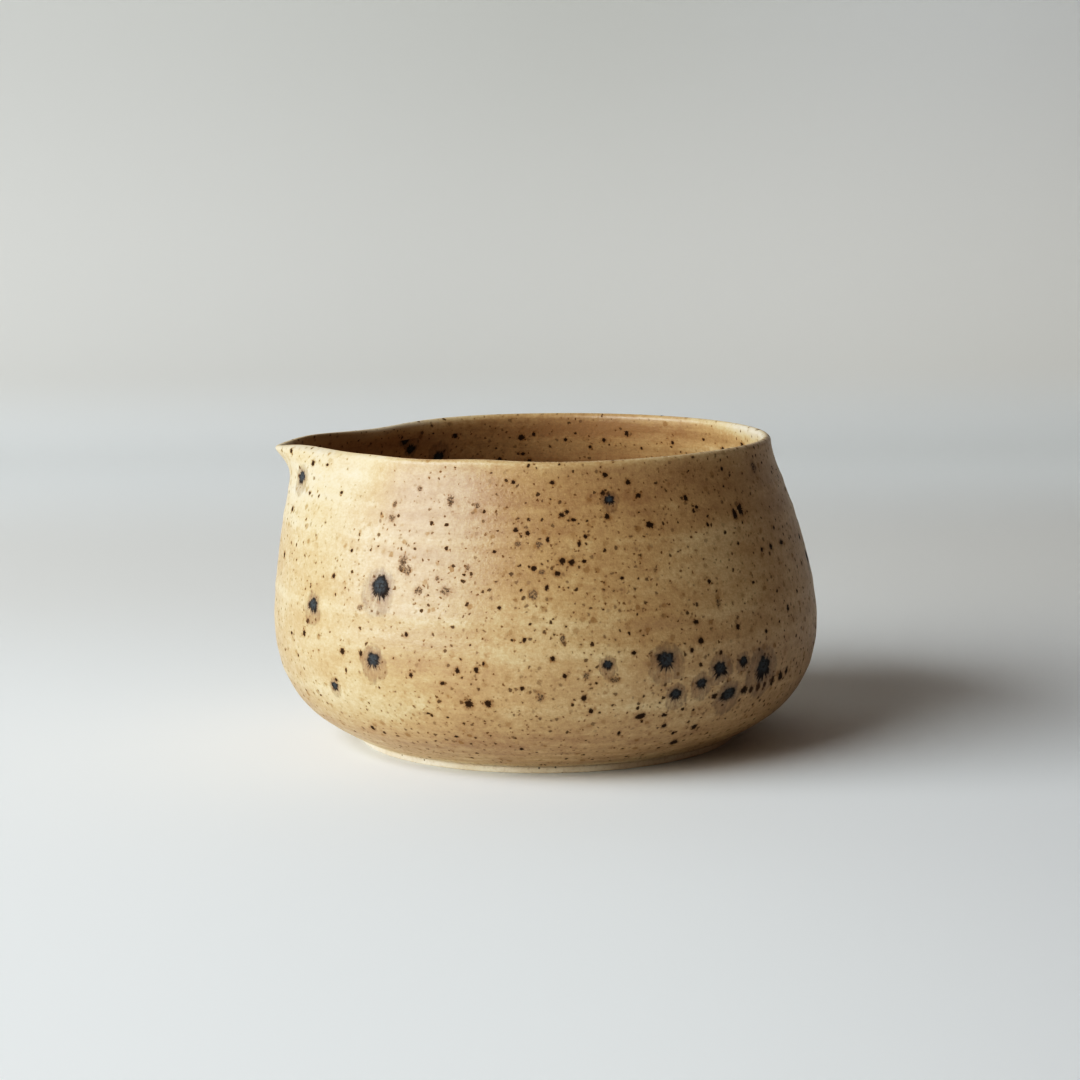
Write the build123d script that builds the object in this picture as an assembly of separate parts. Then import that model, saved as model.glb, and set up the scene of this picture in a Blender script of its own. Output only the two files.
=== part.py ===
"""Wheel-thrown stoneware yarn bowl with a pinched pouring lip.

Millimetres, +Z up. The origin is the centre of the foot on the table, and the lip points along -X.
Four nodes: the thrown clay body, the bare foot ring under it, and the glaze coats outside and inside.
Every wall is a loft through closed rings. A ring is a circle of the potter's profile, drawn out to a
beak at the lip and lifted or dropped a little where the rim isn't level.
"""

import os
from math import acos, cos, degrees, exp, pi, radians, sin, sqrt

from build123d import *

# Driving dimensions
RIM_H = 77.4  # mean height of the rim
CREST_R = 56.7  # plan radius of the middle of the rim
LIP_REACH = 68.4  # plan distance from the axis to the lip's tip, at the middle of the rim
FOOT_R = 48.9  # outside radius of the foot ring
FOOT_H = 1.9  # height of the bare foot ring under the glaze
FOOT_WIDTH = 5.5  # width of the foot ring
FOOT_CHAMFER = 0.3
GLAZE_T = 0.35  # thickness of each glaze coat
RIM_T = 2.6  # thickness of the wall at the rim, glaze included
FLOOR_T = 6.0  # clay thickness of the floor
FLOOR_FLAT_R = 18.0  # radius of the flat in the middle of the floor

# Glazed outside as (radius, height), from the foot to where the rim starts to round
OUTSIDE = [
    (FOOT_R + 2 * GLAZE_T, FOOT_H),
    (55.6, 4.9),
    (62.6, 10.1),
    (67.4, 17.5),
    (69.7, 26.5),
    (69.3, 36.5),
    (66.9, 48.5),
    (63.2, 60.5),
    (60.1, 68.6),
    (CREST_R + RIM_T / 2, RIM_H - RIM_T / 2),
]
FOOT_DIRECTION = (1.0, 0.35)  # the way the wall leaves the foot
RIM_DIRECTION = (-0.1, 1.0)  # the way it comes up to the rim

# Glazed inside, from where the rim stops rounding to the flat of the floor
FLOOR_TOP = FOOT_H + FLOOR_T + GLAZE_T
INSIDE = [
    (CREST_R - RIM_T / 2, RIM_H - RIM_T / 2),
    (56.8, 69.0),
    (59.6, 60.5),
    (62.9, 48.5),
    (65.0, 36.5),
    (65.0, 26.5),
    (62.0, 18.0),
    (55.5, 12.6),
    (44.0, 9.6),
    (31.0, 8.4),
    (FLOOR_FLAT_R, FLOOR_TOP),
]
INNER_RIM_DIRECTION = (0.05, -1.0)

# Pinched lip: the beak at the rim, the swelling below it, and the finger dents beside it
BEAK_SHARE = 0.5  # the beak's share of the reach, the rest belongs to the swelling
BEAK_DEPTH = 4.8  # depth below the rim over which the beak fades
WIDEN_DEPTH = 7.5  # depth over which the draw widens and its tip softens
SWELL_DEPTH = 28.0  # the same for the swelling
SWELL_HALF_ANGLE = 55.0  # half the angle the draw spans low on the wall, in degrees
TIP_ROUNDING = 0.1  # rounding of the tip in plan at the rim, as a share of the half angle
LOW_ROUNDING = 0.9  # the same low on the wall
DENT_ANGLE = 40.0  # angle between the lip and each finger dent
DENT_SPREAD = 9.0
DENT = 1.1

# Rim out of level: angle from +X in degrees, lift in mm, spread in degrees
RIM_WAVES = [
    (180.0, -1.5, 8.0),
    (146.0, -1.1, 22.0),
    (-150.0, -0.3, 12.0),
    (-106.0, 0.6, 11.0),
    (-42.0, 0.3, 26.0),
]
WAVE_DEPTH = 16.0  # depth below the rim over which the waves fade

RING_POINTS = 72
WALL_RINGS = 13  # rings up each side of the wall
RIM_STEPS = 4  # rings from each side of the rim to its crest


def off_angle(angle, centre):
    """Angle from centre to angle, from -180 to 180 degrees."""
    return (angle - centre + 180.0) % 360.0 - 180.0


def soft_abs(value, rounding):
    """Absolute value with its corner rounded off, still 0 at 0 and 1 at 1."""
    return (sqrt(value**2 + rounding**2) - rounding) / (sqrt(1 + rounding**2) - rounding)


def reach_at(depth):
    """How far the lip's centre line stands out from the round wall, this far below the rim."""
    beak = BEAK_SHARE * exp(-((depth / BEAK_DEPTH) ** 1.6))
    swell = (1 - BEAK_SHARE) * exp(-((depth / SWELL_DEPTH) ** 1.7))
    return (LIP_REACH - CREST_R) * (beak + swell)


def outline_radius(angle, radius, height):
    """Plan radius at this angle, where the plain round wall would have this radius."""
    depth = max(RIM_H - height, 0.0)
    low = 1 - exp(-depth / WIDEN_DEPTH)
    off_lip = abs(off_angle(angle, 180.0))
    tangent_angle = degrees(acos(CREST_R / LIP_REACH))
    half = tangent_angle + (SWELL_HALF_ANGLE - tangent_angle) * low
    rounding = TIP_ROUNDING + (LOW_ROUNDING - TIP_ROUNDING) * low
    share = min(off_lip / half, 1.0)
    drawn = reach_at(depth) * (1 - soft_abs(share, rounding)) ** 2
    dent = DENT * exp(-(((off_lip - DENT_ANGLE) / DENT_SPREAD) ** 2)) * (1 - low)
    return radius + drawn - dent


def rim_lift(angle, height):
    """How far the uneven rim lifts the wall at this angle and height."""
    waves = sum(lift * exp(-((off_angle(angle, at) / spread) ** 2)) for at, lift, spread in RIM_WAVES)
    return waves * exp(-(((RIM_H - height) / WAVE_DEPTH) ** 2))


def ring(radius, height):
    """Closed ring of the wall for one point of its profile, with its points closest at the lip."""
    steps = [-1 + 2 * i / RING_POINTS for i in range(RING_POINTS)]
    points = []
    for step in steps:
        angle = 180.0 + 180.0 * (0.45 * step + 0.55 * step**3)
        r = outline_radius(angle, radius, height)
        z = height + rim_lift(angle, height)
        points.append((r * cos(radians(angle)), r * sin(radians(angle)), z))
    return Wire([Edge.make_spline(points, periodic=True, parameters=steps + [1.0])])


def inset_profile(curve, inset):
    """Points along a (radius, height) curve, moved into the wall by the inset."""
    points = []
    for i in range(WALL_RINGS):
        share = i / (WALL_RINGS - 1)
        spot = curve @ share
        along = curve % share
        points.append((spot.X - along.Y * inset, spot.Y + along.X * inset))
    return points


def rim_profile(inset, side):
    """Points round one half of the rim, from its side to its crest."""
    rounding = RIM_T / 2 - inset
    points = []
    for i in range(1, RIM_STEPS + 1):
        turn = pi / 2 * i / RIM_STEPS
        points.append((CREST_R + side * rounding * cos(turn), RIM_H - RIM_T / 2 + rounding * sin(turn)))
    return points


def outside_rings(inset):
    """Rings of the outside, from the foot up to the crest of the rim."""
    curve = Edge.make_spline(OUTSIDE, tangents=[FOOT_DIRECTION, RIM_DIRECTION])
    points = inset_profile(curve, inset)
    points[0] = (FOOT_R + 2 * (GLAZE_T - inset), FOOT_H)
    return [ring(r, z) for r, z in points + rim_profile(inset, 1)]


def inside_rings(inset):
    """Rings of the inside, from the floor up to the crest of the rim."""
    curve = Edge.make_spline(INSIDE, tangents=[INNER_RIM_DIRECTION, (-1.0, 0.0)])
    points = inset_profile(curve, inset)
    points[-1] = (FLOOR_FLAT_R, FLOOR_TOP - inset)
    return [ring(r, z) for r, z in points[::-1] + rim_profile(inset, -1)]


def sewn(*shells):
    """Solid enclosed by shells and faces that share their border rings."""
    faces = [face for shell in shells for face in shell.faces()]
    return Solid(Shell(faces))


def make_walls():
    """Clay body and the two glaze coats, sharing the skins between them."""
    glaze_out, clay_out = outside_rings(0.0), outside_rings(GLAZE_T)
    glaze_in, clay_in = inside_rings(0.0), inside_rings(GLAZE_T)
    outer_skin, outer_bond = Shell.make_loft(glaze_out), Shell.make_loft(clay_out)
    inner_skin, inner_bond = Shell.make_loft(glaze_in), Shell.make_loft(clay_in)
    crest = Shell.make_loft([glaze_out[-1], clay_out[-1]], ruled=True)
    glaze_line = Shell.make_loft([glaze_out[0], clay_out[0]], ruled=True)
    clay_base, clay_floor, glaze_floor = Face(clay_out[0]), Face(clay_in[0]), Face(glaze_in[0])
    clay_body = sewn(outer_bond, inner_bond, clay_base, clay_floor)
    glaze_outside = sewn(outer_skin, outer_bond, crest, glaze_line)
    glaze_inside = sewn(inner_skin, inner_bond, crest, clay_floor, glaze_floor)
    return clay_body, glaze_outside, glaze_inside


def make_foot_ring():
    """Bare ring the bowl stands on, with its lower edges eased."""
    low = Pos(0, 0, FOOT_H / 2)
    ring_solid = low * Cylinder(FOOT_R, FOOT_H) - low * Cylinder(FOOT_R - FOOT_WIDTH, FOOT_H)
    edges = ring_solid.edges().filter_by(GeomType.CIRCLE).group_by(Axis.Z)[0]
    return chamfer(edges, FOOT_CHAMFER)


clay_body, glaze_outside, glaze_inside = make_walls()
nodes = {
    "clay_body": clay_body,
    "foot_ring": make_foot_ring(),
    "glaze_outside": glaze_outside,
    "glaze_inside": glaze_inside,
}

os.makedirs("parts", exist_ok=True)
for name, shape in nodes.items():
    export_step(shape, f"parts/{name}.step")
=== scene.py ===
"""Looks of the yarn bowl: the two glaze coats, the clay under them and the bare foot, on a plain pale sweep.

The shape functions work in millimetres in the part's own frame, and meshes are written in metres.
"""
import math

import bpy
import numpy as np
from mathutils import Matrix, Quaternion, Vector


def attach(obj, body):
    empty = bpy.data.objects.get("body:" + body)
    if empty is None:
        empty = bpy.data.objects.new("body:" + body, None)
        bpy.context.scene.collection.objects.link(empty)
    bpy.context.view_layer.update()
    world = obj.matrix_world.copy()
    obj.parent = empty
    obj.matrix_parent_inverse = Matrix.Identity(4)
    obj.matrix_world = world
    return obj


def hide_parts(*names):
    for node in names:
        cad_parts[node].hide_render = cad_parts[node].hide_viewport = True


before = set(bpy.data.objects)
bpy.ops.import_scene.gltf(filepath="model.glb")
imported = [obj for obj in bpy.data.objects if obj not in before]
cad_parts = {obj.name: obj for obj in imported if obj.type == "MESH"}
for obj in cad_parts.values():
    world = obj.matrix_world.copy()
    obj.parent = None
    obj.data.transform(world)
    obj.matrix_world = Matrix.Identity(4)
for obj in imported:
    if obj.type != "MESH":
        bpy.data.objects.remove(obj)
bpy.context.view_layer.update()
MM = 0.001

# ---------------------------------------------------------------- the bowl's shape, as the CAD part has it
RIM_H, CREST_R, LIP_REACH = 77.4, 56.7, 68.4
FOOT_R, FOOT_H, FOOT_WIDTH = 48.9, 1.9, 5.5
GLAZE_T, RIM_T, FLOOR_T = 0.35, 2.6, 6.0
FLOOR_TOP = FOOT_H + FLOOR_T + GLAZE_T
OUTSIDE = [
    (FOOT_R + 2 * GLAZE_T, FOOT_H),
    (55.6, 4.9),
    (62.6, 10.1),
    (67.4, 17.5),
    (69.7, 26.5),
    (69.3, 36.5),
    (66.9, 48.5),
    (63.2, 60.5),
    (60.1, 68.6),
    (CREST_R + RIM_T / 2, RIM_H - RIM_T / 2),
]
INSIDE = [
    (CREST_R - RIM_T / 2, RIM_H - RIM_T / 2),
    (56.8, 69.0),
    (59.6, 60.5),
    (62.9, 48.5),
    (65.0, 36.5),
    (65.0, 26.5),
    (62.0, 18.0),
    (55.5, 12.6),
    (44.0, 9.6),
    (31.0, 8.4),
    (18.0, FLOOR_TOP),
]
BEAK_SHARE, BEAK_DEPTH, WIDEN_DEPTH, SWELL_DEPTH = 0.5, 4.8, 7.5, 28.0
SWELL_HALF_ANGLE, TIP_ROUNDING, LOW_ROUNDING = 55.0, 0.1, 0.9
DENT_ANGLE, DENT_SPREAD, DENT = 40.0, 9.0, 1.1
RIM_WAVES = [
    (180.0, -1.5, 8.0),
    (146.0, -1.1, 22.0),
    (-150.0, -0.3, 12.0),
    (-106.0, 0.6, 11.0),
    (-42.0, 0.3, 26.0),
]
WAVE_DEPTH = 16.0
RIDGES = [  # throwing rings that stand out: (height, how far they stand out, half width)
    (66.0, 0.16, 1.2),
    (58.5, 0.10, 1.5),
    (41.0, 0.10, 1.6),
    (33.0, 0.08, 1.5),
    (20.0, 0.12, 1.8),
]
SEAM = 2.5  # how far down the inside the two glaze pieces meet
COLUMNS = 384  # points round each ring
STEP_OUT, STEP_IN = 0.75, 1.1  # spacing of the rings outside and inside
RIM_POINTS = 15  # rings over the rounded rim, an odd number so that one lies on the crest
POLE_R = 0.6  # radius of the smallest ring, which a fan of triangles closes


def clamped_curve(points, start, end, step):
    """Points about a step apart along the smooth curve through points, with the given end directions."""
    p = np.array(points, float)
    h = np.linalg.norm(np.diff(p, axis=0), axis=1)
    n = len(p)
    a, b = np.zeros((n, n)), np.zeros((n, 2))
    a[0, 0] = a[-1, -1] = 1.0
    b[0] = np.array(start) / np.linalg.norm(start)
    b[-1] = np.array(end) / np.linalg.norm(end)
    for i in range(1, n - 1):
        a[i, i - 1 : i + 2] = h[i], 2 * (h[i - 1] + h[i]), h[i - 1]
        b[i] = 3 * (h[i] / h[i - 1] * (p[i] - p[i - 1]) + h[i - 1] / h[i] * (p[i + 1] - p[i]))
    m = np.linalg.solve(a, b)
    fine = []
    for i in range(n - 1):
        last = i == n - 2
        t = np.linspace(0, 1, 60, endpoint=last)[:, None]
        fine.append(
            (2 * t**3 - 3 * t**2 + 1) * p[i]
            + (t**3 - 2 * t**2 + t) * h[i] * m[i]
            + (3 * t**2 - 2 * t**3) * p[i + 1]
            + (t**3 - t**2) * h[i] * m[i + 1]
        )
    return resampled(np.vstack(fine), step)


def arc_lengths(p):
    """Length along a polyline up to each of its points."""
    return np.concatenate([[0.0], np.cumsum(np.linalg.norm(np.diff(p, axis=0), axis=1))])


def resampled(p, step):
    """The same line in equal steps."""
    s = arc_lengths(p)
    at = np.linspace(0, s[-1], max(2, round(s[-1] / step) + 1))
    return np.column_stack([np.interp(at, s, p[:, 0]), np.interp(at, s, p[:, 1])])


def arc(centre, radius, first, last, count):
    """Points round an arc of the profile, angles in degrees from +r."""
    turn = np.radians(np.linspace(first, last, count))
    return np.column_stack([centre[0] + radius * np.cos(turn), centre[1] + radius * np.sin(turn)])


def profile_normals(p):
    """Unit normals of a profile line, to the right of the way it runs."""
    d = np.gradient(p, axis=0)
    d /= np.linalg.norm(d, axis=1)[:, None]
    return np.column_stack([d[:, 1], -d[:, 0]])


def off_angle(angle, centre):
    """Angle from centre, from -180 to 180 degrees."""
    return (angle - centre + 180.0) % 360.0 - 180.0


def soft_abs(value, rounding):
    """Absolute value with its corner rounded off, still 1 at 1."""
    return (np.sqrt(value**2 + rounding**2) - rounding) / (np.sqrt(1 + rounding**2) - rounding)


def outline_radius(angle, radius, height):
    """Plan radius where the plain round wall would have this radius, drawn out at the lip."""
    depth = np.maximum(RIM_H - height, 0.0)
    low = 1 - np.exp(-depth / WIDEN_DEPTH)
    off_lip = np.abs(off_angle(angle, 180.0))
    tangent_angle = math.degrees(math.acos(CREST_R / LIP_REACH))
    half = tangent_angle + (SWELL_HALF_ANGLE - tangent_angle) * low
    rounding = TIP_ROUNDING + (LOW_ROUNDING - TIP_ROUNDING) * low
    share = np.minimum(off_lip / half, 1.0)
    beak = BEAK_SHARE * np.exp(-((depth / BEAK_DEPTH) ** 1.6))
    swell = (1 - BEAK_SHARE) * np.exp(-((depth / SWELL_DEPTH) ** 1.7))
    drawn = (LIP_REACH - CREST_R) * (beak + swell) * (1 - soft_abs(share, rounding)) ** 2
    dent = DENT * np.exp(-(((off_lip - DENT_ANGLE) / DENT_SPREAD) ** 2)) * (1 - low)
    return radius + drawn - dent


def rim_lift(angle, height):
    """How far the uneven rim lifts a point above its even height."""
    total = 0.0
    for at, lift, spread in RIM_WAVES:
        total = total + lift * np.exp(-((off_angle(angle, at) / spread) ** 2))
    return total * np.exp(-(((RIM_H - height) / WAVE_DEPTH) ** 2))


# ---------------------------------------------------------------- hand-made unevenness of the surface
def waves(angle, along, seed, count, around, up):
    """Smooth noise of about -1 to 1 over the angle in degrees and the length along the profile in mm.

    It adds up count waves, each with at most around periods round the bowl and at least up mm long."""
    draw = np.random.default_rng(seed)
    total, weight = 0.0, 0.0
    for _ in range(count):
        k = int(draw.integers(0, around + 1))
        m = draw.uniform(0.3, 1.0) * 2 * math.pi / up * draw.choice([-1, 1])
        w = draw.uniform(0.5, 1.0)
        phase = draw.uniform(0, 2 * math.pi)
        total = total + w * np.sin(np.radians(angle) * k + along * m + phase)
        weight += w
    return total / weight * 1.8


def outside_relief(angle, along, height):
    """Throwing rings and lumps outside, in mm."""
    wobble = waves(angle, along, seed=11, count=6, around=3, up=60.0)
    fine = waves(0 * angle, along + 0.5 * wobble, seed=5, count=14, around=0, up=4.5)
    rings = 0.0
    for at, high, wide in RIDGES:
        rings = rings + high * np.exp(-(((height - at - 0.5 * wobble) / wide) ** 2))
    lumps = 0.10 * waves(angle, along, seed=3, count=9, around=6, up=45.0)
    fade = np.clip((RIM_H - 1.5 - height) / 5.0, 0, 1) * np.clip((height - FOOT_H) / 4.0, 0, 1)
    return (rings + 0.05 * fine + lumps) * fade


def inside_relief(angle, along, height):
    """Throwing rings inside, stronger than outside, in mm."""
    wobble = waves(angle, along, seed=21, count=6, around=3, up=60.0)
    pitch = 6.5
    rings = 0.12 * np.sin((along + 0.8 * wobble + angle / 360.0 * pitch) * 2 * math.pi / pitch)
    fine = 0.04 * waves(0 * angle, along + 0.4 * wobble, seed=15, count=12, around=0, up=3.5)
    fade = np.clip((RIM_H - 3.0 - height) / 6.0, 0, 1)
    return (rings + fine + 0.08 * waves(angle, along, seed=23, count=9, around=5, up=45.0)) * fade


def ring_angles():
    """Angles of the columns in degrees, closest together at the lip, and starting opposite it."""
    t = np.linspace(-1, 1, COLUMNS, endpoint=False)
    return 180.0 + 180.0 * (0.7 * t + 0.3 * t**3)


ANGLES = ring_angles()


def surface(profile, push=None):
    """Rings of points in metres, one for each point of the profile, pushed out by push."""
    r, z = profile[:, 0][:, None], profile[:, 1][:, None]
    angle = ANGLES[None, :]
    plan = outline_radius(angle, r, z)
    up = z + rim_lift(angle, z)
    if push is not None:
        n = profile_normals(profile)
        plan = plan + push * n[:, 0][:, None]
        up = up + push * n[:, 1][:, None]
    turn = np.radians(angle)
    return np.stack([plan * np.cos(turn), plan * np.sin(turn), up + 0 * turn], axis=2) * MM


# ---------------------------------------------------------------- iron spots and the tone of the glaze
# spots: (angle, height, radius in mm)
OUTSIDE_BLOOMS = [  # large ones that bled into the glaze
    (-126.5, 47.8, 2.7),
    (-146.0, 40.7, 1.9),
    (-126.8, 30.2, 2.1),
    (-163.2, 69.9, 1.9),
    (-66.2, 31.0, 2.5),
    (-53.5, 27.3, 2.1),
    (-47.3, 28.0, 1.3),
    (-41.0, 25.6, 3.0),
    (-63.8, 22.3, 1.6),
    (-58.0, 24.3, 1.6),
    (-50.5, 20.3, 2.2),
    (-75.6, 68.6, 1.2),
    (-138.9, 21.8, 1.2),
    (-78.3, 30.8, 1.2),
    (-8.0, 47.0, 1.6),
    (18.0, 33.0, 2.3),
    (41.0, 52.0, 1.5),
    (57.0, 24.0, 2.6),
    (66.0, 28.0, 1.4),
    (88.0, 61.0, 1.7),
    (104.0, 37.0, 2.4),
    (121.0, 22.0, 1.6),
    (139.0, 49.0, 2.0),
    (163.0, 31.0, 1.6),
]
OUTSIDE_DOTS = [  # smaller ones, dark and sharp
    (-169.2, 76.7, 0.5),
    (-168.9, 75.8, 0.55),
    (-159.0, 73.8, 0.8),
    (-153.5, 74.0, 0.5),
    (-157.0, 66.5, 0.55),
    (-145.0, 68.0, 0.6),
    (-165.0, 61.5, 0.9),
    (-165.0, 50.0, 0.9),
    (-140.3, 48.5, 0.7),
    (-136.2, 55.0, 0.6),
    (-147.7, 36.4, 0.75),
    (-148.8, 33.2, 0.85),
    (-155.0, 32.0, 0.6),
    (-135.2, 31.0, 0.95),
    (-130.0, 31.2, 0.8),
    (-138.0, 23.4, 0.6),
    (-134.4, 26.4, 0.5),
    (-119.0, 37.0, 0.65),
    (-117.8, 27.4, 0.65),
    (-111.0, 26.0, 0.6),
    (-115.0, 18.0, 0.45),
    (-105.8, 21.2, 1.25),
    (-101.9, 21.4, 0.95),
    (-104.0, 29.7, 0.75),
    (-107.8, 29.3, 0.7),
    (-102.5, 31.2, 0.45),
    (-99.5, 44.3, 0.55),
    (-94.5, 37.0, 0.6),
    (-101.0, 57.0, 0.5),
    (-96.6, 62.0, 0.65),
    (-94.0, 61.3, 0.65),
    (-89.7, 59.8, 0.6),
    (-97.5, 72.6, 0.55),
    (-88.5, 72.7, 0.6),
    (-86.5, 65.3, 0.75),
    (-85.4, 66.0, 0.6),
    (-84.0, 64.2, 0.6),
    (-86.7, 55.0, 0.9),
    (-84.8, 54.6, 0.85),
    (-82.2, 54.8, 0.55),
    (-87.8, 52.1, 0.8),
    (-92.6, 53.3, 0.7),
    (-90.0, 49.0, 0.65),
    (-76.0, 74.2, 0.7),
    (-76.5, 64.7, 0.75),
    (-76.9, 70.0, 0.7),
    (-70.6, 72.2, 0.7),
    (-68.5, 69.0, 0.7),
    (-66.8, 62.2, 1.0),
    (-56.5, 67.5, 0.75),
    (-54.0, 65.2, 0.5),
    (-52.0, 61.0, 0.55),
    (-40.6, 63.2, 1.35),
    (-42.8, 62.4, 1.1),
    (-43.0, 73.0, 0.55),
    (-81.6, 60.4, 0.55),
    (-83.0, 58.7, 0.65),
    (-89.0, 32.5, 0.65),
    (-86.7, 28.4, 0.6),
    (-95.0, 25.4, 0.65),
    (-83.0, 22.8, 0.75),
    (-81.5, 19.5, 0.7),
    (-74.5, 50.6, 0.5),
    (-54.5, 48.0, 0.6),
    (-59.0, 39.0, 0.8),
    (-58.3, 34.5, 0.9),
    (-48.5, 36.5, 0.75),
    (-73.0, 33.2, 0.65),
    (-60.5, 32.5, 0.7),
    (-53.5, 31.0, 0.6),
    (-54.3, 20.3, 0.9),
    (-46.0, 20.4, 1.3),
    (-43.8, 20.1, 0.95),
    (-41.6, 20.3, 1.2),
    (-39.4, 20.6, 0.85),
    (-36.8, 20.9, 1.2),
    (-33.6, 21.5, 1.35),
    (-31.2, 22.3, 1.0),
    (-71.0, 17.3, 1.2),
    (-65.7, 17.0, 0.7),
    (-65.0, 14.0, 0.8),
    (-57.0, 12.4, 0.9),
    (-62.0, 11.5, 0.6),
    (-60.0, 8.4, 1.3),
    (-75.0, 13.0, 0.6),
    (-32.5, 53.3, 0.8),
    (-36.5, 53.2, 0.6),
    (-27.0, 53.5, 0.9),
    (-30.5, 38.0, 0.8),
    (-40.0, 34.0, 0.6),
    (-132.0, 11.5, 0.8),
    (-96.0, 9.0, 0.6),
    (-110.0, 12.0, 0.5),
]
OUTSIDE_GHOSTS = [  # ones the glaze has nearly closed over, grey and brown
    (-121.5, 53.4, 1.5),
    (-120.3, 51.9, 1.2),
    (-126.7, 63.5, 0.95),
    (-126.5, 66.6, 0.7),
    (-120.5, 70.6, 0.75),
    (-117.0, 47.4, 1.1),
    (-110.9, 47.7, 1.2),
    (-113.0, 50.5, 0.6),
    (-131.0, 42.0, 0.8),
    (-106.5, 53.2, 0.6),
    (-92.8, 47.5, 1.2),
    (-91.0, 52.5, 0.7),
    (-96.0, 58.8, 0.7),
    (-91.6, 58.7, 0.8),
    (-91.5, 23.3, 1.0),
    (-87.0, 36.9, 0.8),
    (-82.5, 28.2, 0.8),
    (-77.0, 27.0, 0.9),
    (-29.0, 72.0, 1.4),
    (-53.0, 42.8, 0.8),
    (-112.0, 68.0, 1.2),
    (-105.5, 67.0, 0.7),
]
SMALLEST_BLOOM = 1.2  # inside, larger spots are blooms
INSIDE_SPOTS = [
    (133.0, 73.0, 1.6),
    (130.5, 69.8, 1.4),
    (120.5, 66.4, 1.7),
    (116.0, 72.3, 0.8),
    (96.5, 70.8, 0.95),
    (93.0, 71.6, 0.6),
    (96.0, 66.0, 0.6),
    (102.5, 64.4, 1.0),
    (110.5, 64.6, 0.8),
    (84.0, 70.0, 0.55),
    (66.0, 72.0, 0.85),
    (73.0, 70.0, 0.65),
    (51.5, 70.2, 0.65),
    (32.0, 70.0, 0.65),
    (21.0, 72.0, 0.9),
    (-12.0, 62.0, 1.1),
    (-48.0, 55.0, 1.4),
    (-75.0, 66.0, 0.9),
    (-118.0, 58.0, 1.2),
    (-150.0, 47.0, 1.0),
    (70.0, 44.0, 1.5),
    (28.0, 38.0, 1.2),
    (150.0, 52.0, 1.1),
]


GOLDEN_SHARE = (3 - math.sqrt(5)) / 2  # of a turn, which keeps repeated steps apart
SCATTERED_ANGLES = (-20, 170)  # outside, the stretch with few spots of its own in the lists


def scattered(seed, count, heights, sizes, angles):
    """More spots at random, each between the (lowest, highest) height, size and angle."""
    draw = np.random.default_rng(seed)
    spots = []
    for _ in range(count):
        size = sizes[0] + (sizes[1] - sizes[0]) * draw.random() ** 2
        spots.append((draw.uniform(*angles), draw.uniform(*heights), size))
    return spots


def mark_spots(mesh, name, angle, along, spots):
    """Stores at each face corner its place in the face's nearest spot: (across, up, which spot).

    The place is in radii of the spot. angle and along are each vertex's own place."""
    at, up, size, plan, number = (np.array(column) for column in zip(*spots))
    vertex = np.empty(len(mesh.loops), int)
    mesh.loops.foreach_get("vertex_index", vertex)
    count = np.empty(len(mesh.polygons), int)
    mesh.polygons.foreach_get("loop_total", count)
    face = np.repeat(np.arange(len(count)), count)
    first = np.concatenate([[0], np.cumsum(count)[:-1]])
    start = vertex[first]
    turned = off_angle(angle[vertex], angle[start][face])
    middle = angle[start] + np.add.reduceat(turned, first) / count
    middle_up = np.add.reduceat(along[vertex], first) / count
    nearest = np.zeros(len(count), int)
    least = np.full(len(count), np.inf)
    for i in range(len(spots)):
        across = np.radians(off_angle(middle, at[i])) * plan[i]
        far = np.hypot(across, middle_up - up[i]) / size[i]
        closer = far < least
        nearest[closer], least[closer] = i, far[closer]
    spot = nearest[face]
    across = np.radians(off_angle(angle[vertex], at[spot])) * plan[spot] / size[spot]
    raised = (along[vertex] - up[spot]) / size[spot]
    place = np.column_stack([across, raised, number[spot]]).astype(np.float32)
    store = mesh.attributes.new(name, "FLOAT_VECTOR", "CORNER")
    store.data.foreach_set("vector", place.ravel())


HIDDEN_ALONG, HIDDEN_HEIGHT = 500.0, 30.0  # given to the bonded side of a coat, so that no spot lies on it


def vertex_places(rows_along, rows_height, hidden, poles):
    """Angle, length along the profile and height of each vertex of a coat: its visible rings, then its hidden
    rings, then its pole points."""
    rows_along = np.concatenate([rows_along, np.full(hidden, HIDDEN_ALONG)])
    rows_height = np.concatenate([rows_height, np.full(hidden, HIDDEN_HEIGHT)])
    angle = np.concatenate([np.tile(ANGLES, len(rows_along)), np.zeros(poles)])
    along = np.concatenate([np.repeat(rows_along, COLUMNS), np.full(poles, HIDDEN_ALONG)])
    height = np.concatenate([np.repeat(rows_height, COLUMNS), np.full(poles, HIDDEN_HEIGHT)])
    return angle, along, height


def on_profile(spots, skin, kind=0.0):
    """Spots given by angle and height as (angle, along, radius, plan radius, number). The number's whole part
    is the kind of spot, and its fraction tells one spot from another."""
    s = arc_lengths(skin)
    order = np.argsort(skin[:, 1])
    found = []
    for i, (at, height, size) in enumerate(spots):
        up = float(np.interp(height, skin[order, 1], s[order]))
        plan = float(np.interp(height, skin[order, 1], skin[order, 0]))
        found.append((at, up, size, plan, kind + 0.01 + (i * GOLDEN_SHARE) % 0.98))
    return found


def bump_at(value, centre, spread):
    """Smooth hump, 1 at the centre."""
    return np.exp(-(((value - centre) / spread) ** 2))


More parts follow.
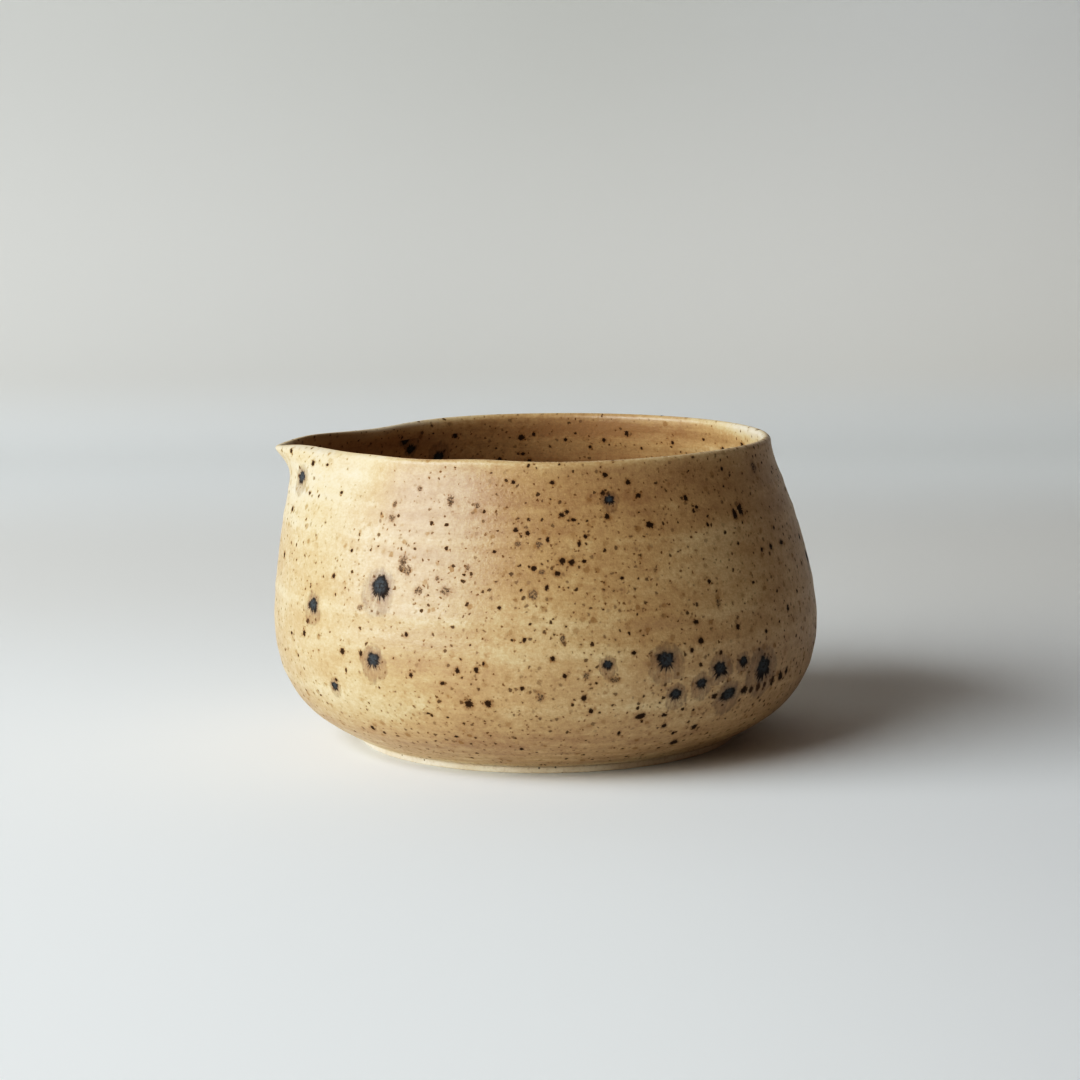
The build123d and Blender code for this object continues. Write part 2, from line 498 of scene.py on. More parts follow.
# browner (+) or creamier (-) parts outside, some of them painted light and shade: (angle, height, half width
# in degrees, half height, change)
TONE_AND_LIGHT_PATCHES = [
    (-68.0, 70.0, 42.0, 7.0, 0.30),
    (-92.0, 55.0, 22.0, 16.0, 0.22),
    (-100.0, 70.0, 28.0, 8.0, 0.22),
    (-124.0, 68.0, 14.0, 10.0, 0.22),
    (-110.0, 40.0, 17.0, 30.0, 0.24),
    (-90.0, 41.0, 16.0, 10.0, -0.28),
    (-66.0, 38.0, 12.0, 8.0, 0.20),
    (-52.0, 55.0, 12.0, 10.0, -0.30),
    # partly painted shade: the right side, away from the window, browner from the foot to the rim
    (-12.0, 40.0, 24.0, 90.0, 0.22),
    # painted light: the low front left creamier, where light comes up off the floor
    (-128.0, 18.0, 26.0, 7.0, -0.30),
    # painted sheen: the upper left creamier where the window's sheen lies
    (-140.0, 56.0, 14.0, 14.0, -0.15),
    # painted light and sheen: the left neck and rim, which face the window, milky
    (-166.0, 68.0, 17.0, 14.0, -0.60),
    (-104.0, 10.0, 15.0, 9.0, 0.20),
    # painted sheen: the upper left beside the rim paler
    (-141.0, 73.0, 11.0, 7.0, -0.40),
]


def outside_tone(angle, along, height):
    """How brown the glaze is, from 0 for cream to 1, with painted light and shade in some of its patches, how
    dense its fine specks are, and how smeared it is.
    """
    wobble = 0.5 * waves(angle, along, seed=11, count=6, around=3, up=60.0)
    tone = 0.45 + 0.08 * waves(angle, along, seed=41, count=12, around=7, up=30.0)
    for at, high, wide, tall, change in TONE_AND_LIGHT_PATCHES:
        tone += change * bump_at(off_angle(angle, at), 0.0, wide) * bump_at(height, high, tall)
    low_streaks = 0.7 + 0.3 * waves(angle, along, seed=43, count=10, around=9, up=9.0)
    tone += 0.30 * bump_at(height, 10.0, 5.0) * low_streaks
    for at, _, wide in RIDGES:
        tone -= 0.16 * bump_at(height, at + wobble, 0.8 * wide)
    tone -= 0.35 * bump_at(height, RIM_H, 1.3)  # thin and pale on the rim
    tone -= 0.5 * bump_at(height, FOOT_H + 0.2, 0.9)  # and at the glaze line above the foot
    dense = 0.62 + 0.25 * waves(angle, along, seed=47, count=10, around=6, up=40.0)
    dense += 0.35 * bump_at(height, 60.0, 14.0) * bump_at(off_angle(angle, -75.0), 0.0, 35.0)
    dense += 0.25 * bump_at(height, 17.0, 8.0) - 0.25 * bump_at(off_angle(angle, -140.0), 0.0, 22.0)
    return tone, dense, bump_at(height, 7.0, 6.5)


def inside_tone(angle, along, height):
    """The same for the inside: browner all over, partly as painted shade in the hollow, with painted light
    making it creamy near the rim away from the lip, where the window lights the far wall, and beside the lip,
    where the rim's inner edge faces up.
    """
    depth = np.maximum(RIM_H - height, 0)
    # partly painted shade of the hollow: the whole inside browner than the outside
    tone = 1.0 + 0.14 * waves(angle, along, seed=51, count=12, around=6, up=26.0)
    tone = tone + 0.35 * bump_at(depth, 4.5, 2.5) - 0.35 * bump_at(depth, 9.0, 3.0)
    tone = tone - 0.35 * np.exp(-depth / 1.4)
    # painted light: creamier down the far right wall, where the window light falls inside
    tone = tone - 1.75 * bump_at(off_angle(angle, 5.0), 0.0, 30.0) * np.exp(-depth / 13.0)
    # painted light: paler where the rim's inner edge beside the lip faces up to the light from above
    painted_light_beside_lip = bump_at(off_angle(angle, 150.0), 0.0, 36.0)
    tone = tone - painted_light_beside_lip * (np.exp(-depth / 12.0) + 0.9 * bump_at(depth, 0.0, 3.2))
    dense = 0.45 + 0.2 * waves(angle, along, seed=53, count=10, around=6, up=40.0)
    return tone, dense, np.full_like(tone, 0.35)


def mark_tone(mesh, tone, dense, smeared):
    """Stores the tone of the glaze at each vertex, painted light and shade included."""
    store = mesh.attributes.new("glaze_tone_and_light", "FLOAT_VECTOR", "POINT")
    values = np.column_stack([tone, np.clip(dense, 0, 1), smeared]).astype(np.float32)
    store.data.foreach_set("vector", values.ravel())


# ---------------------------------------------------------------- meshes from rings
def ring_piece(name, rings, start, end, sharp=()):
    """Mesh of stacked rings. start and end are a pole's point, or both are None and the last ring joins the
    first. sharp lists the rings that are hard edges."""
    rows, cols = rings.shape[:2]
    points = [tuple(p) for p in rings.reshape(-1, 3)]
    faces = []
    spans = list(zip(range(rows - 1), range(1, rows)))
    if start is None:
        spans.append((rows - 1, 0))
    for low, high in spans:
        for c in range(cols):
            d = (c + 1) % cols
            faces.append((low * cols + c, low * cols + d, high * cols + d, high * cols + c))
    for pole, row in ((start, 0), (end, rows - 1)):
        if pole is None:
            continue
        points.append(pole)
        for c in range(cols):
            d = (c + 1) % cols
            edge = (row * cols + c, row * cols + d)
            faces.append((len(points) - 1, *(edge[::-1] if row == 0 else edge)))
    mesh = bpy.data.meshes.new(name)
    mesh.from_pydata(points, [], faces)
    mesh.validate()
    piece = bpy.data.objects.new(name, mesh)
    bpy.context.scene.collection.objects.link(piece)
    mesh.shade_smooth()
    for edge in mesh.edges:
        a, b = (v // cols for v in edge.vertices)
        if a == b and a in sharp and abs(edge.vertices[0] - edge.vertices[1]) in (1, cols - 1):
            edge.use_edge_sharp = True
    return piece


def joined(*parts):
    """Profile lines end to end, without the repeated points."""
    line = [parts[0]]
    for part in parts[1:]:
        line.append(part[1:])
    return np.vstack(line)


outside = clamped_curve(OUTSIDE, (1.0, 0.35), (-0.1, 1.0), STEP_OUT)
inside = clamped_curve(INSIDE, (0.05, -1.0), (-1.0, 0.0), STEP_IN)
rim_centre = (CREST_R, RIM_H - RIM_T / 2)
inside_s = arc_lengths(inside)
seam_row = int(np.searchsorted(inside_s, SEAM))


def inset(profile, amount):
    """Profile moved into the wall, on the left of the way it runs."""
    return profile - amount * profile_normals(profile)


def glaze_outside():
    """Coat from the foot up over the rim to the seam, with its bonded side on the clay."""
    rim = arc(rim_centre, RIM_T / 2, 0, 180, RIM_POINTS)
    skin = joined(outside, rim, inside[: seam_row + 1])
    crest_row = len(outside) + RIM_POINTS // 2
    along = arc_lengths(skin)[:, None]
    relief = outside_relief(ANGLES[None, :], along, skin[:, 1][:, None])
    relief[crest_row:] = 0.0
    bead = 0.16 * bump_at(along, 1.6, 0.9)
    rolled_in = 0.6 * bump_at(along, 0.0, 0.5)
    outer = surface(skin, relief + bead - rolled_in)
    bond_line = inset(np.vstack([outside[::2], rim[::2], inside[: seam_row + 1]]), GLAZE_T)
    bond_line[0] = (FOOT_R, FOOT_H)
    bond = surface(bond_line)[::-1]
    rings = np.concatenate([outer, bond])
    edges = (0, len(outer) - 1, len(outer), len(rings) - 1)
    piece = ring_piece("glaze_outside_coat", rings, None, None, sharp=edges)
    angle, up, height = vertex_places(along[:, 0], skin[:, 1], len(bond_line), 0)
    crest = along[crest_row, 0]
    over = np.clip((up - crest) / 1.5 + 0.5, 0, 1)
    outer_tone = outside_tone(angle, up, height)
    inner_tone = inside_tone(angle, up - crest, height)
    mark_tone(piece.data, *(a + (b - a) * over for a, b in zip(outer_tone, inner_tone)))
    mark_spots(piece.data, "bloom", angle, up, on_profile(OUTSIDE_BLOOMS, outside))
    sharp_dots = OUTSIDE_DOTS + scattered(61, 150, (6, 75), (0.4, 1.0), SCATTERED_ANGLES)
    ghosts = OUTSIDE_GHOSTS + scattered(62, 40, (15, 75), (0.6, 1.4), SCATTERED_ANGLES)
    small = on_profile(sharp_dots, outside) + on_profile(ghosts, outside, kind=1.0)
    mark_spots(piece.data, "dot", angle, up, small)
    return piece


def glaze_inside():
    """Coat from the seam down the wall and over the floor, with its bonded side on the clay."""
    floor = np.column_stack([np.linspace(INSIDE[-1][0], POLE_R, 16), np.full(16, FLOOR_TOP)])
    skin = joined(inside[seam_row:], floor)
    along = arc_lengths(skin)[:, None] + inside_s[seam_row]
    relief = inside_relief(ANGLES[None, :], along, skin[:, 1][:, None])
    outer = surface(skin, relief)
    bond_line = inset(np.vstack([inside[seam_row], inside[seam_row + 2 :: 2], floor[-1:]]), GLAZE_T)
    bond = surface(bond_line)[::-1]
    rings = np.concatenate([outer[::-1], bond[::-1]])
    top = (0.0, 0.0, float(outer[-1, :, 2].mean()))
    bottom = (0.0, 0.0, float(bond[0, :, 2].mean()))
    piece = ring_piece("glaze_inside_coat", rings, top, bottom, sharp=(len(outer) - 1, len(outer)))
    angle, up, height = vertex_places(along[::-1, 0], skin[::-1, 1], len(bond_line), 2)
    mark_tone(piece.data, *inside_tone(angle, up, height))
    large = [spot for spot in INSIDE_SPOTS if spot[2] > SMALLEST_BLOOM]
    small = [spot for spot in INSIDE_SPOTS if spot[2] <= SMALLEST_BLOOM]
    small += scattered(63, 110, (14, 74), (0.35, 1.0), (-180, 180))
    mark_spots(piece.data, "bloom", angle, up, on_profile(large, inside))
    mark_spots(piece.data, "dot", angle, up, on_profile(small, inside))
    return piece


def clay_body():
    """The clay under the glaze, with turning marks on its bare base."""
    base = np.column_stack([np.linspace(POLE_R, FOOT_R, 70), np.full(70, FOOT_H)])
    wall = inset(np.vstack([outside[::2], arc(rim_centre, RIM_T / 2, 15, 165, 9), inside[::2]]), GLAZE_T)
    wall[0] = (FOOT_R, FOOT_H)
    floor = np.column_stack([np.linspace(17.0, POLE_R, 5), np.full(5, FLOOR_TOP - GLAZE_T)])
    under = surface(base)
    turns = base[:, 0] * 2 * math.pi
    trim = 0.08 * np.sin(turns / 2.3) + 0.05 * np.sin(turns / 0.9)
    fade = np.clip((FOOT_R - FOOT_WIDTH - 1 - base[:, 0]) / 2, 0, 1)
    under[:, :, 2] += (trim * fade)[:, None] * MM
    rings = np.concatenate([under, surface(np.vstack([wall[1:], floor]))])
    bottom, top = (0, 0, FOOT_H * MM), (0, 0, (FLOOR_TOP - GLAZE_T) * MM)
    return ring_piece("clay_wall", rings, bottom, top, sharp=(len(base) - 1,))


def foot_ring():
    """The bare ring that the bowl stands on, its two lower corners rounded."""
    inner = FOOT_R - FOOT_WIDTH
    corner = 0.45
    section = np.vstack(
        [
            arc((inner + corner, corner), corner, 180, 270, 5),
            np.column_stack([np.linspace(inner + 1.0, FOOT_R - 1.0, 8), np.zeros(8)]),
            arc((FOOT_R - corner, corner), corner, 270, 360, 5),
            np.column_stack([[FOOT_R, FOOT_R - 0.02], [FOOT_H * 0.6, FOOT_H]]),
            np.column_stack([[inner, inner], [FOOT_H, FOOT_H * 0.6]]),
        ]
    )
    r, z = section[:, 0][:, None], section[:, 1][:, None]
    turn = np.radians(ANGLES)[None, :]
    open_side = (z > 0.1) * (z < FOOT_H - 0.1)
    plan = r + 0.05 * waves(ANGLES[None, :], r + z, seed=31, count=12, around=40, up=6.0) * open_side
    rings = np.stack([plan * np.cos(turn), plan * np.sin(turn), z + 0 * turn], axis=2) * MM
    return ring_piece("foot_ring_bare", rings, None, None)


# ---------------------------------------------------------------- materials
def new_material(name):
    m = bpy.data.materials.new(name)
    m.use_nodes = True
    m.node_tree.nodes.clear()
    return m


class Tree:
    """Short calls for building a node tree."""

    def __init__(self, tree):
        self.tree = tree

    def node(self, kind, inputs=None, **settings):
        n = self.tree.nodes.new(kind)
        for key, value in settings.items():
            setattr(n, key, value)
        for key, value in (inputs or {}).items():
            if isinstance(value, bpy.types.NodeSocket):
                self.tree.links.new(value, n.inputs[key])
            else:
                n.inputs[key].default_value = value
        return n

    def math(self, operation, a, b=0.0, c=0.0):
        return self.node("ShaderNodeMath", {0: a, 1: b, 2: c}, operation=operation).outputs[0]

    def attribute(self, name):
        return self.node("ShaderNodeAttribute", attribute_name=name).outputs["Vector"]

    def parts(self, vector):
        """X, Y and Z of a vector."""
        return self.node("ShaderNodeSeparateXYZ", {"Vector": vector}).outputs

    def vector(self, operation, a, b=None, scale=None):
        inputs = {0: a}
        if b is not None:
            inputs[1] = b
        if scale is not None:
            inputs["Scale"] = scale
        n = self.node("ShaderNodeVectorMath", inputs, operation=operation)
        return n.outputs["Value" if operation in ("LENGTH", "DOT_PRODUCT", "DISTANCE") else "Vector"]

    def ramp(self, value, low, high, to_low=0.0, to_high=1.0, smooth=True):
        kind = "SMOOTHSTEP" if smooth else "LINEAR"
        return self.node(
            "ShaderNodeMapRange",
            {"Value": value, "From Min": low, "From Max": high, "To Min": to_low, "To Max": to_high},
            interpolation_type=kind,
        ).outputs["Result"]

    def mix(self, factor, a, b, blend="MIX"):
        n = self.node("ShaderNodeMix", {"Factor": factor}, data_type="RGBA", blend_type=blend)
        for socket, value in ((n.inputs[6], a), (n.inputs[7], b)):
            if isinstance(value, bpy.types.NodeSocket):
                self.tree.links.new(value, socket)
            else:
                socket.default_value = value
        return n.outputs[2]

    def noise(self, vector, scale, detail=2.0, roughness=0.5):
        return self.node(
            "ShaderNodeTexNoise",
            {"Vector": vector, "Scale": scale, "Detail": detail, "Roughness": roughness},
        ).outputs["Fac"]

    def level(self, vector, flatness):
        """The same place with heights scaled up, which lays a noise's blobs down level."""
        return self.vector("MULTIPLY", vector, (1.0, 1.0, flatness))


def srgb(r, g, b):
    """Colour from 0 to 255 display values."""
    linear = [(c / 255 / 12.92) if c <= 10.3 else ((c / 255 + 0.055) / 1.055) ** 2.4 for c in (r, g, b)]
    return (*linear, 1.0)


# palest end of the glaze colours, reached mostly where light and sheen are painted
MILKY_AND_SHEEN = srgb(222, 207, 178)
CREAM = srgb(215, 192, 150)
HONEY = srgb(191, 159, 115)
TAN = srgb(164, 128, 89)
SPECK_HALO = srgb(148, 108, 58)
# fine specks: (cell, smallest and largest radius in mm, share of cells with one, strength, colour)
SPECK_SIZES = [
    (2.8, 0.35, 0.8, 0.85, 0.55, srgb(136, 98, 50)),
    (1.25, 0.13, 0.3, 0.9, 0.85, srgb(92, 60, 22)),
    (1.8, 0.2, 0.5, 1.0, 0.98, srgb(58, 36, 10)),
]
DOT_HALO = srgb(140, 100, 54)
DOT = srgb(52, 31, 9)
FAINT_DOT = srgb(84, 70, 56)
BLOOM_HALO = srgb(122, 90, 62)
BLOOM_HALO_EDGE = srgb(92, 66, 34)
BLOOM_RING = srgb(92, 72, 58)
BLOOM_EDGE = srgb(38, 27, 22)
BLOOM_MIDDLE = srgb(80, 85, 88)


def specks(t, vector, cell, smallest, largest, share):
    """Small specks: (mask, halo, random value of the speck). Cells and radii are in mm, and share is how many
    cells have one."""
    n = t.node("ShaderNodeTexVoronoi", {"Vector": vector, "Scale": 1 / (cell * MM), "Randomness": 1.0})
    draw = t.node("ShaderNodeSeparateColor", {"Color": n.outputs["Color"]})
    least = t.math("SUBTRACT", 1.0, share)
    present = t.math("GREATER_THAN", draw.outputs[0], least)
    size = t.ramp(draw.outputs[2], 0.0, 1.0, smallest / cell, largest / cell, smooth=False)
    gap = t.math("SUBTRACT", n.outputs["Distance"], size)
    soft = 0.5 * smallest / cell
    mask = t.ramp(gap, -soft, soft, 1.0, 0.0)
    halo = t.ramp(gap, 0.0, 2.5 * smallest / cell, 1.0, 0.0)
    return t.math("MULTIPLY", mask, present), t.math("MULTIPLY", halo, present), draw.outputs[1]


def spot_place(t, name):
    """Where a point lies in the nearest marked spot: (place in radii, direction from its middle, a shift that
    tells the spots apart, the spot's number)."""
    marked = t.attribute(name)
    number = t.parts(marked)["Z"]
    flat = t.vector("MULTIPLY", marked, (1.0, 1.0, 0.0))
    shift = t.node("ShaderNodeCombineXYZ", {"Z": t.math("MULTIPLY", number, 40.0)}).outputs[0]
    return flat, t.vector("NORMALIZE", flat), shift, number


def blooms(t, colour):
    """Large iron spots: slate middle, black edge whose rays run downwards, and a brown halo sagging below."""
    flat, way, shift, _ = spot_place(t, "bloom")
    out = t.vector("LENGTH", flat)
    kind = t.noise(shift, 0.7, 0.0)
    above = t.parts(way)["Y"]
    down = t.math("MAXIMUM", t.math("MULTIPLY", above, -1.0), 0.0)
    lobes = t.noise(t.vector("ADD", way, shift), 1.3, 1.0)
    rays = t.noise(t.vector("ADD", t.vector("SCALE", way, scale=7.0), shift), 1.0, 2.0, 0.8)
    reach = t.math("MULTIPLY", t.math("MULTIPLY_ADD", down, 2.0, 0.12), t.ramp(kind, 0.35, 0.65, 0.8, 1.4))
    edge = t.math("MULTIPLY_ADD", t.math("SUBTRACT", rays, 0.5), reach, t.math("ADD", lobes, 0.47))
    edge = t.math("MULTIPLY_ADD", t.math("MAXIMUM", above, 0.0), -0.22, edge)
    grain = t.noise(t.vector("ADD", flat, shift), 3.4, 4.0, 0.75)
    gap = t.math("MULTIPLY_ADD", t.math("SUBTRACT", grain, 0.5), 0.8, t.math("SUBTRACT", out, edge))
    core = t.ramp(gap, -0.15, 0.14, 1.0, 0.0)
    middle = t.math("MULTIPLY", t.ramp(out, 0.3, 1.0, 1.0, 0.0), t.ramp(grain, 0.36, 0.54, 0.2, 1.0))
    sag = t.vector("MULTIPLY", t.vector("ADD", flat, (0.0, 0.6, 0.0)), (1.0, 0.85, 1.0))
    soft = t.noise(t.vector("ADD", flat, shift), 0.8, 3.0, 0.6)
    halo_out = t.math("MULTIPLY_ADD", t.math("SUBTRACT", soft, 0.5), 1.5, t.vector("LENGTH", sag))
    runs = t.noise(t.vector("ADD", t.vector("MULTIPLY", flat, (3.0, 0.5, 0.0)), shift), 1.0, 3.0, 0.6)
    halo = t.math("MULTIPLY", t.ramp(halo_out, 1.4, 2.1, 1.0, 0.0), t.ramp(runs, 0.3, 0.7, 0.4, 1.0))
    rim = t.ramp(t.math("ABSOLUTE", t.math("SUBTRACT", halo_out, 1.75)), 0.0, 0.4, 1.0, 0.0)
    ring = t.ramp(gap, 0.0, 0.55, 1.0, 0.0)
    colour = t.mix(t.math("MULTIPLY", halo, 0.6), colour, BLOOM_HALO)
    colour = t.mix(t.math("MULTIPLY", rim, t.ramp(runs, 0.35, 0.65, 0.1, 0.4)), colour, BLOOM_HALO_EDGE)
    colour = t.mix(t.math("MULTIPLY", ring, 0.5), colour, BLOOM_RING)
    colour = t.mix(t.math("MULTIPLY", core, 0.97), colour, BLOOM_EDGE)
    slate = t.math("MULTIPLY", middle, t.math("MULTIPLY", core, 0.85))
    return t.mix(slate, colour, BLOOM_MIDDLE), core


def dots(t, colour):
    """Iron spots about a millimetre across: near black with a brown edge, or faint where glazed over."""
    flat, way, shift, number = spot_place(t, "dot")
    narrow = t.ramp(t.noise(shift, 0.9, 0.0), 0.3, 0.7, 0.72, 1.35, smooth=False)
    tall = t.math("DIVIDE", 1.0, narrow)
    stretch = t.node("ShaderNodeCombineXYZ", {"X": narrow, "Y": tall}).outputs[0]
    out = t.vector("LENGTH", t.vector("MULTIPLY", flat, stretch))
    shape = t.noise(t.vector("ADD", flat, shift), 1.3, 3.0, 0.75)
    spikes = t.noise(t.vector("ADD", t.vector("SCALE", way, scale=3.2), shift), 1.0, 2.0, 0.7)
    edge = t.math("ADD", t.math("MULTIPLY_ADD", shape, 1.5, -0.3), t.math("MULTIPLY", spikes, 0.95))
    gap = t.math("SUBTRACT", out, edge)
    faint = t.math("GREATER_THAN", number, 1.0)
    core = t.ramp(gap, -0.3, 0.12, 1.0, 0.0)
    halo = t.ramp(gap, -0.1, 0.9, 1.0, 0.0)
    grain = t.noise(t.vector("ADD", flat, shift), 2.6, 3.0, 0.75)
    faded = t.math("MULTIPLY", core, t.ramp(grain, 0.42, 0.56, 0.15, 0.9))
    dark = t.math("MULTIPLY", core, 0.97)
    level = t.node("ShaderNodeMix", {"Factor": faint, 2: dark, 3: faded}).outputs[0]
    colour = t.mix(t.math("MULTIPLY", halo, 0.5), colour, DOT_HALO)
    return t.mix(level, colour, t.mix(faint, DOT, FAINT_DOT)), level


def glaze_ground(t, place, brown, smeared):
    """The glaze without its iron: cream where thick, honey and tan where thin, in clouds and level streaks,
    with the painted light and shade that the tone carries: milky where light and sheen are painted, browner
    where shade is.

    Gives its colour, mottle and streaks."""
    clouds = t.noise(t.level(place, 1.8), 75.0, 4.0, 0.6)
    streaks = t.noise(t.level(place, 9.0), 42.0, 4.0, 0.62)
    smears = t.noise(t.level(place, 13.0), 70.0, 4.0, 0.65)
    mottle = t.noise(place, 420.0, 3.0, 0.65)
    fine = t.noise(t.level(place, 1.5), 1300.0, 2.0, 0.6)
    tone = t.math("ADD", brown, t.ramp(clouds, 0.25, 0.75, -0.2, 0.2, smooth=False))
    tone = t.math("ADD", tone, t.ramp(streaks, 0.25, 0.75, -0.15, 0.15, smooth=False))
    tone = t.math("MULTIPLY_ADD", t.ramp(smears, 0.3, 0.7, -0.32, 0.32, smooth=False), smeared, tone)
    tone = t.math("ADD", tone, t.ramp(mottle, 0.3, 0.7, -0.15, 0.15, smooth=False))
    tone = t.math("ADD", tone, t.ramp(fine, 0.3, 0.7, -0.14, 0.14, smooth=False))
    colour = t.mix(t.ramp(tone, -0.5, 0.0, smooth=False), MILKY_AND_SHEEN, CREAM)
    colour = t.mix(t.ramp(tone, 0.0, 0.5, smooth=False), colour, HONEY)
    return t.mix(t.ramp(tone, 0.5, 1.1, smooth=False), colour, TAN), mottle, streaks


def fine_specks(t, place, colour, dense):
    """Ragged brown specks of three sizes, denser round the dots. Gives the colour and how much is iron."""
    warp = t.node("ShaderNodeTexNoise", {"Vector": place, "Scale": 1100.0, "Detail": 2.0})
    offset = t.vector("SCALE", t.vector("SUBTRACT", warp.outputs["Color"], (0.5, 0.5, 0.5)), scale=1.1 * MM)
    ragged = t.vector("ADD", place, offset)
    out_of_spot = t.vector("LENGTH", spot_place(t, "dot")[0])
    dense = t.math("ADD", dense, t.ramp(out_of_spot, 1.0, 4.0, 0.45, 0.0))
    iron = 0.0
    for cell, smallest, largest, share, strength, tint in SPECK_SIZES:
        core, halo, draw = specks(t, ragged, cell, smallest, largest, t.math("MULTIPLY", dense, share))
        level = t.math("MULTIPLY", t.ramp(draw, 0.0, 1.0, 0.2, 0.95), strength)
        colour = t.mix(t.math("MULTIPLY", halo, t.math("MULTIPLY", level, 0.4)), colour, SPECK_HALO)
        colour = t.mix(t.math("MULTIPLY", core, level), colour, tint)
        iron = t.math("MAXIMUM", iron, t.math("MULTIPLY", core, level))
    return colour, iron


def glaze_material():
    """Satin glaze whose iron spots are rougher and duller than the rest."""
    m = new_material("speckled_satin_glaze")
    t = Tree(m.node_tree)
    place = t.node("ShaderNodeTexCoord").outputs["Object"]
    field = t.parts(t.attribute("glaze_tone_and_light"))
    colour, mottle, streaks = glaze_ground(t, place, field["X"], field["Z"])
    colour, iron = fine_specks(t, place, colour, field["Y"])
    colour, dot_core = dots(t, colour)
    colour, bloom_core = blooms(t, colour)
    iron = t.math("MAXIMUM", iron, t.math("MAXIMUM", dot_core, bloom_core))
    peel = t.noise(place, 900.0, 3.0, 0.65)
    bump_height = t.math("ADD", t.math("MULTIPLY", peel, 0.8), t.math("MULTIPLY", streaks, 0.6))
    bump_height = t.math("SUBTRACT", bump_height, t.math("MULTIPLY", iron, 0.25))
    bump = t.node("ShaderNodeBump", {"Strength": 0.28, "Distance": 0.5 * MM, "Height": bump_height})
    rough = t.math("ADD", t.ramp(mottle, 0.2, 0.8, 0.34, 0.46), t.math("MULTIPLY", iron, 0.3))
    shader = t.node(
        "ShaderNodeBsdfPrincipled",
        {
            "Base Color": colour,
            "Roughness": rough,
            "IOR": 1.5,
            "Specular IOR Level": t.math("MULTIPLY_ADD", iron, -0.55, 0.7),
            "Normal": bump.outputs["Normal"],
        },
    )
    t.node("ShaderNodeOutputMaterial", {"Surface": shader.outputs["BSDF"]})
    return m


def clay_material():
    """Pale bare stoneware, grainy and matt, with a few fine iron specks."""
    m = new_material("bare_stoneware")
    t = Tree(m.node_tree)
    place = t.node("ShaderNodeTexCoord").outputs["Object"]
    grain = t.noise(place, 900.0, 4.0, 0.7)
    patch = t.noise(place, 60.0, 2.0)
    base = t.mix(t.ramp(patch, 0.3, 0.7), srgb(246, 233, 208), srgb(232, 213, 183))
    base = t.mix(t.ramp(grain, 0.45, 0.8, 0.0, 0.4), base, srgb(186, 152, 112))
    core = specks(t, place, cell=1.9, smallest=0.12, largest=0.3, share=0.4)[0]
    base = t.mix(t.math("MULTIPLY", core, 0.75), base, srgb(84, 58, 30))
    bump = t.node("ShaderNodeBump", {"Strength": 0.4, "Distance": 0.3 * MM, "Height": grain})
    shader = t.node(
        "ShaderNodeBsdfPrincipled",
        {"Base Color": base, "Roughness": 0.85, "Normal": bump.outputs["Normal"]},
    )
    t.node("ShaderNodeOutputMaterial", {"Surface": shader.outputs["BSDF"]})
    return m


glaze, clay = glaze_material(), clay_material()
for make, material, slot, nodes in (
    (glaze_outside, glaze, "glaze", ["glaze_outside"]),
    (glaze_inside, glaze, "glaze_inner", ["glaze_inside"]),
    (clay_body, clay, "clay", ["clay_body"]),
    (foot_ring, clay, "clay", ["foot_ring"]),
):
    piece = make()
    piece.data.materials.append(material)
    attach(piece, "root")
    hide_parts(*nodes)


# ---------------------------------------------------------------- studio
# the paper sweep, in metres
FLOOR_FRONT = -1.8
FLOOR_BACK = 0.62
BEND_R = 0.38
WALL_TOP = 2.4
HALF_WIDTH = 2.2


def paper_material():
    """Plain paper with painted light and shade: a little greyer away from the light on the floor and up the
    wall, and lighter towards the right of the bend and the wall.
    """
    m = new_material("sweep_paper")
    t = Tree(m.node_tree)
    place = t.parts(t.node("ShaderNodeTexCoord").outputs["Object"])
    right, back, height = place["X"], place["Y"], place["Z"]
    near = t.ramp(back, 0.3, 0.55, 1.0, 0.0)
    # painted shade on the floor: greyer behind the bowl and to its right, where its shadow runs out and the
    # light falls off
    painted_shade_behind = t.math("MULTIPLY", t.ramp(back, 0.0, 0.25, 0.0, 0.7), near)
    painted_shadow_right = t.math("MULTIPLY", t.ramp(right, 0.0, 0.16), near)
    floor = t.mix(painted_shadow_right, srgb(244, 248, 248), srgb(232, 235, 236))
    floor = t.mix(painted_shade_behind, floor, srgb(230, 229, 224))
    # painted light: the bend and the wall lighter towards the right
    bend = t.mix(t.ramp(right, -0.1, 0.2), srgb(232, 232, 227), srgb(242, 242, 237))
    wall = t.mix(t.ramp(right, 0.0, 0.28), srgb(207, 207, 202), srgb(219, 220, 218))
    # painted shade up the wall: greyer with height
    paper = t.mix(t.ramp(height, 0.0, 0.03), floor, bend)
    paper = t.mix(t.ramp(height, 0.02, 0.26), paper, wall)
    shader = t.node("ShaderNodeBsdfPrincipled", {"Base Color": paper, "Roughness": 0.9})
    t.node("ShaderNodeOutputMaterial", {"Surface": shader.outputs["BSDF"]})
    return m


def sweep():
    """Pale floor that curves up into a backdrop behind the bowl."""
    line = [(FLOOR_FRONT, 0.0), (FLOOR_BACK, 0.0)]
    for turn in np.linspace(0.1, math.pi / 2, 20):
        line.append((FLOOR_BACK + BEND_R * math.sin(turn), BEND_R - BEND_R * math.cos(turn)))
    line.append((FLOOR_BACK + BEND_R, WALL_TOP))
    points = [(x, y, z) for x in (-HALF_WIDTH, HALF_WIDTH) for y, z in line]
    n = len(line)
    mesh = bpy.data.meshes.new("sweep")
    mesh.from_pydata(points, [], [(i, i + 1, n + i + 1, n + i) for i in range(n - 1)])
    mesh.shade_smooth()
    mesh.materials.append(paper_material())
    floor = bpy.data.objects.new("sweep", mesh)
    bpy.context.scene.collection.objects.link(floor)


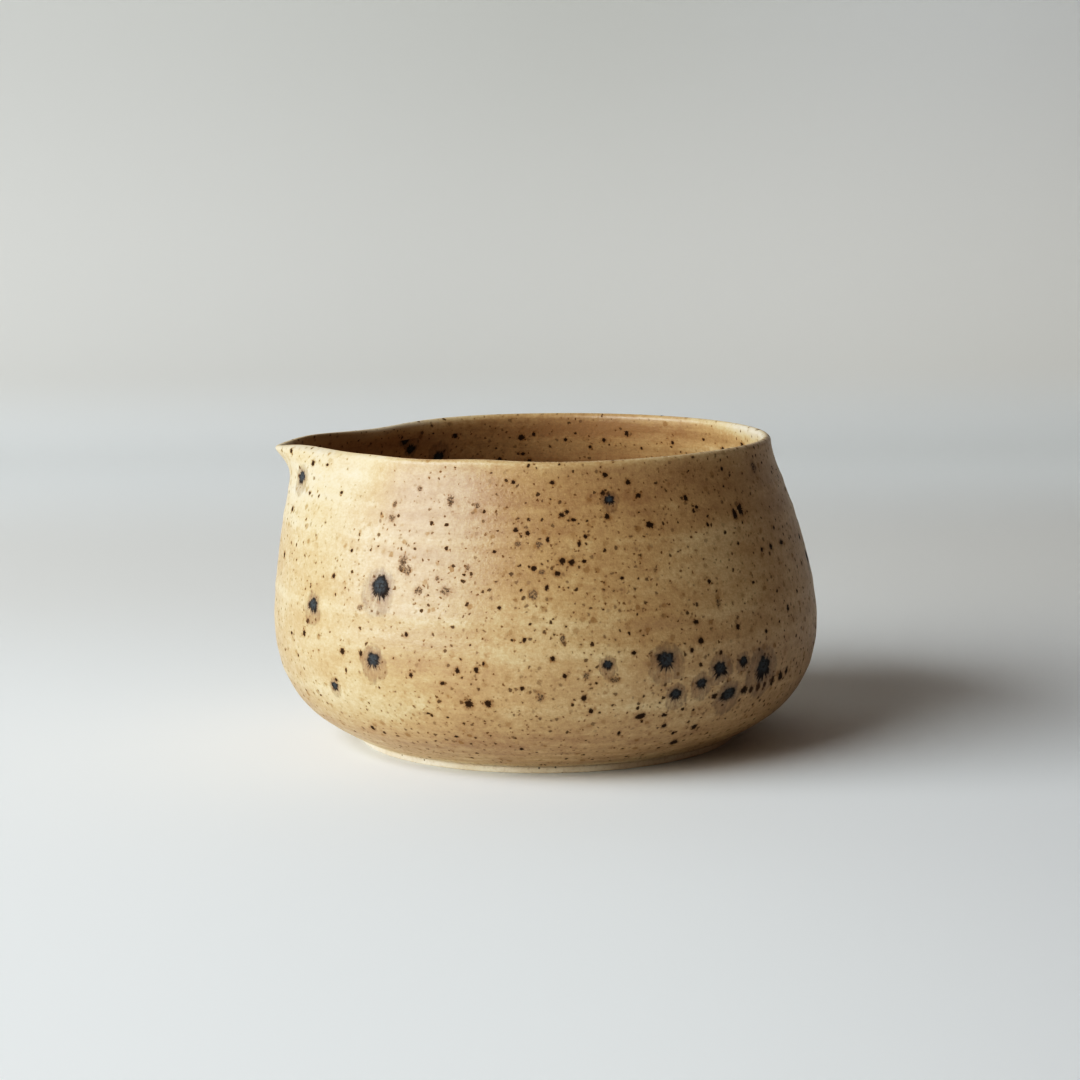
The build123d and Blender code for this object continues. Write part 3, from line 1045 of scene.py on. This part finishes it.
def window_light():
    """One large soft light, high on the left and a little in front."""
    data = bpy.data.lights.new("window", "AREA")
    data.shape = "RECTANGLE"
    data.size, data.size_y = 1.6, 1.25
    data.energy = 30.0
    data.color = (0.946, 1.0, 1.028)
    light = bpy.data.objects.new("window", data)
    light.location = (-1.18, -0.63, 0.72)
    aim = Vector((0.0, 0.0, 0.04)) - light.location
    light.rotation_euler = aim.to_track_quat("-Z", "Y").to_euler()
    bpy.context.scene.collection.objects.link(light)


def room_light():
    """Weak warm light from all round."""
    world = bpy.data.worlds.new("studio")
    world.use_nodes = True
    background = world.node_tree.nodes["Background"]
    background.inputs["Color"].default_value = (1.0, 0.68, 0.52, 1.0)
    background.inputs["Strength"].default_value = 0.079
    bpy.context.scene.world = world


# scene light to picture value, between black and white
PRINT_CURVE = [
    (0.02, 0.0085),
    (0.05, 0.03),
    (0.1, 0.078),
    (0.18, 0.176),
    (0.3, 0.345),
    (0.5, 0.62),
    (0.8, 0.91),
]
PRINT_WHITE = 1.03


def print_contrast():
    """Tone curve of a contrasty print, from scene light to picture."""
    view = bpy.context.scene.view_settings
    view.view_transform = "Standard"
    view.use_curve_mapping = True
    curve = view.curve_mapping.curves[3]
    curve.points[0].location = (0.0, 0.0)
    curve.points[1].location = (1.0, PRINT_WHITE)
    for light, picture in PRINT_CURVE:
        curve.points.new(light, picture)
    view.curve_mapping.update()


def make_camera():
    """Long lens in front of the bowl, a little above it and looking down."""
    down, roll = math.radians(8.549), math.radians(-0.62)
    data = bpy.data.cameras.new("camera")
    data.lens, data.sensor_width = 91.17, 36.0
    data.clip_start, data.clip_end = 0.05, 20.0
    camera = bpy.data.objects.new("camera", data)
    camera.location = (-0.0015, -0.7, 0.1555)
    camera.rotation_mode = "QUATERNION"
    level = Quaternion((1, 0, 0), math.pi / 2 - down)
    camera.rotation_quaternion = level @ Quaternion((0, 0, 1), roll)
    bpy.context.scene.collection.objects.link(camera)
    bpy.context.scene.camera = camera


sweep()
window_light()
room_light()
print_contrast()
make_camera()
